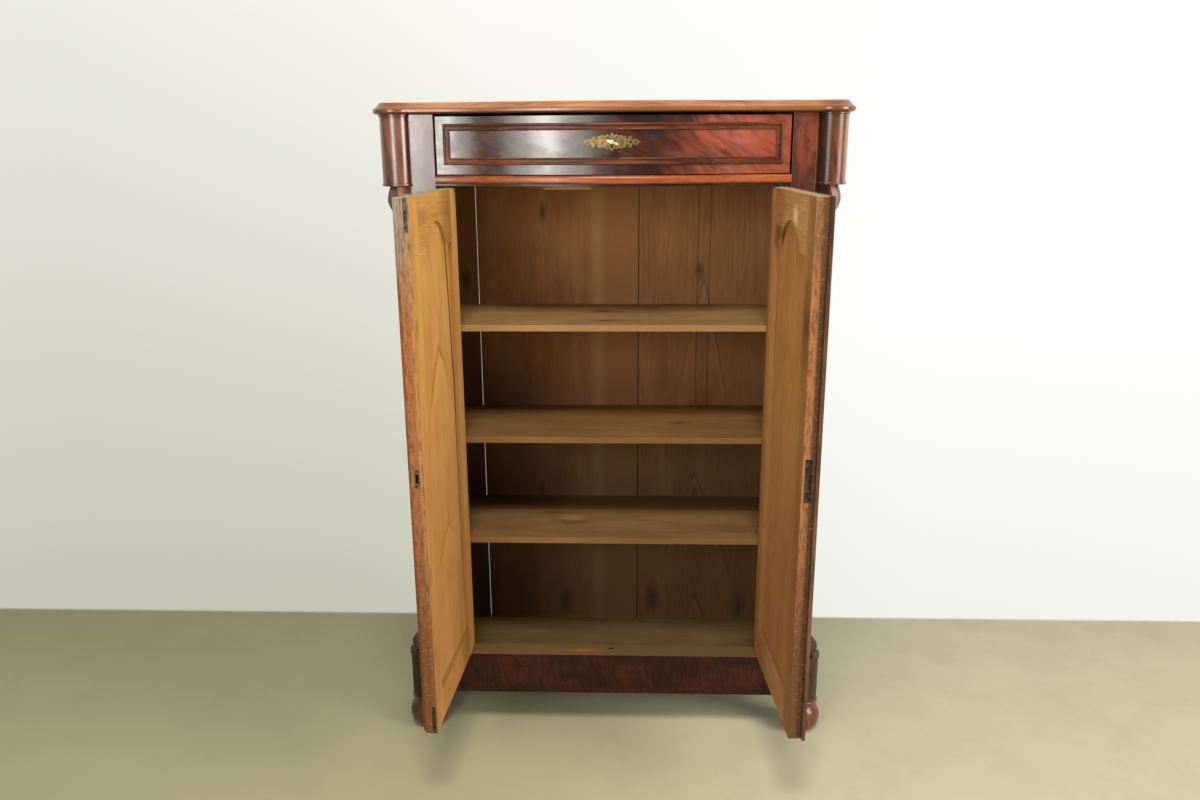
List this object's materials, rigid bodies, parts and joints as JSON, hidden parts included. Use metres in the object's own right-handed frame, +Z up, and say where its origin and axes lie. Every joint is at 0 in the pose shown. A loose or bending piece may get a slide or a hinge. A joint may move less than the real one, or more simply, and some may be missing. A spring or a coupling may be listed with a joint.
{
  "type": "parlour cabinet",
  "caption": "Free-standing parlour cabinet: bow-fronted frieze drawer over hinged panel doors, open shelves inside, moulded top, corner columns with scrolls, plinth and turned feet.",
  "frame": {"origin": "on the floor, on the centre line, in the plane of the corner posts' front faces, which is the middle of the depth while the doors stand open", "axes": "+X to the right of someone facing the cabinet, +Y towards its back, +Z up"},
  "size_m": [1.0418, 0.7011, 1.5285],
  "materials": {
    "mahogany": "french polished mahogany veneer",
    "door_wood": "waxed pine, veneered outside",
    "pine": "bare aged pine",
    "brass": "tarnished sheet brass",
    "iron": "dark worn iron",
    "key_steel": "bright worn steel"
  },
  "bodies": {
    "cabinet": {"back_board_left": "pine", "back_board_middle": "pine", "back_board_right": "pine", "base_volute_left": "mahogany", "base_volute_right": "mahogany", "bottom_board": "pine", "corner_post_left": "mahogany", "corner_post_right": "mahogany", "door_stop": "pine", "drawer_kickers": "pine", "drawer_rail": "mahogany", "drawer_runners": "pine", "frieze_column_left": "mahogany", "frieze_column_right": "mahogany", "front_foot_left": "mahogany", "front_foot_right": "mahogany", "lower_shelf": "pine", "middle_shelf": "pine", "plinth_block_left": "mahogany", "plinth_block_right": "mahogany", "plinth_rail": "mahogany", "rail_moulding": "mahogany", "rear_feet": "pine", "scroll_console_left": "mahogany", "scroll_console_right": "mahogany", "shelf_cleats": "pine", "side_panel_left": "mahogany", "side_panel_right": "mahogany", "top_board": "mahogany", "upper_shelf": "pine"},
    "drawer": {"drawer_front": "mahogany", "drawer_bead_frame": "mahogany", "drawer_side_left": "pine", "drawer_side_right": "pine", "drawer_bottom": "pine", "drawer_back": "pine", "drawer_escutcheon": "brass", "drawer_lock_case": "iron"},
    "left_door": {"left_door_bottom_rail": "door_wood", "left_door_hinge_stile": "door_wood", "left_door_meeting_stile": "door_wood", "left_door_panel": "door_wood", "left_door_pivots": "iron", "left_door_strike": "iron", "left_door_top_rail": "door_wood", "flush_bolt_plates": "iron"},
    "right_door": {"right_door_astragal": "mahogany", "right_door_bottom_rail": "door_wood", "right_door_hinge_stile": "door_wood", "right_door_keyhole_plate": "brass", "right_door_lock": "iron", "right_door_meeting_stile": "door_wood", "right_door_panel": "door_wood", "right_door_pivots": "iron", "right_door_top_rail": "door_wood"},
    "drawer_bolt": {"drawer_lock_bolt": "iron"},
    "key": {"drawer_key": "key_steel"},
    "upper_bolt": {"upper_flush_bolt": "iron"},
    "lower_bolt": {"lower_flush_bolt": "iron"},
    "door_bolt": {"right_door_lock_bolt": "iron"}
  },
  "joints": [
    {"name": "left_door_swing", "type": "hinge", "parent": "cabinet", "child": "left_door", "pos_m": [-0.3655, 0.016, 0.222], "axis": [0, 0, 1], "range_deg": [-8.8, 93.2]},
    {"name": "right_door_swing", "type": "hinge", "parent": "cabinet", "child": "right_door", "pos_m": [0.3655, 0.016, 0.222], "axis": [0, 0, 1], "range_deg": [-94.4, 7.6]},
    {"name": "drawer_slide", "type": "slide", "parent": "cabinet", "child": "drawer", "axis": [0, -1, 0], "range_m": [0, 0.24]},
    {"name": "key_turn", "type": "hinge", "parent": "drawer", "child": "key", "pos_m": [0, -0.05, 1.445], "axis": [0, -1, 0], "range_deg": [0, 180]},
    {"name": "drawer_bolt_throw", "type": "slide", "parent": "drawer", "child": "drawer_bolt", "axis": [0, 0, 1], "range_m": [0, 0.012]},
    {"name": "upper_bolt_slide", "type": "slide", "parent": "left_door", "child": "upper_bolt", "axis": [0, 0, 1], "range_m": [0, 0.012]},
    {"name": "lower_bolt_slide", "type": "slide", "parent": "left_door", "child": "lower_bolt", "axis": [0, 0, -1], "range_m": [0, 0.012]},
    {"name": "door_bolt_throw", "type": "slide", "parent": "right_door", "child": "door_bolt", "axis": [0.0767, -0.9971, 0], "range_m": [0, 0.009]}
  ],
  "couplings": [
    {"joint": "drawer_bolt_throw", "follows": "key_turn", "m_per_rad": 0.0038197}
  ]
}
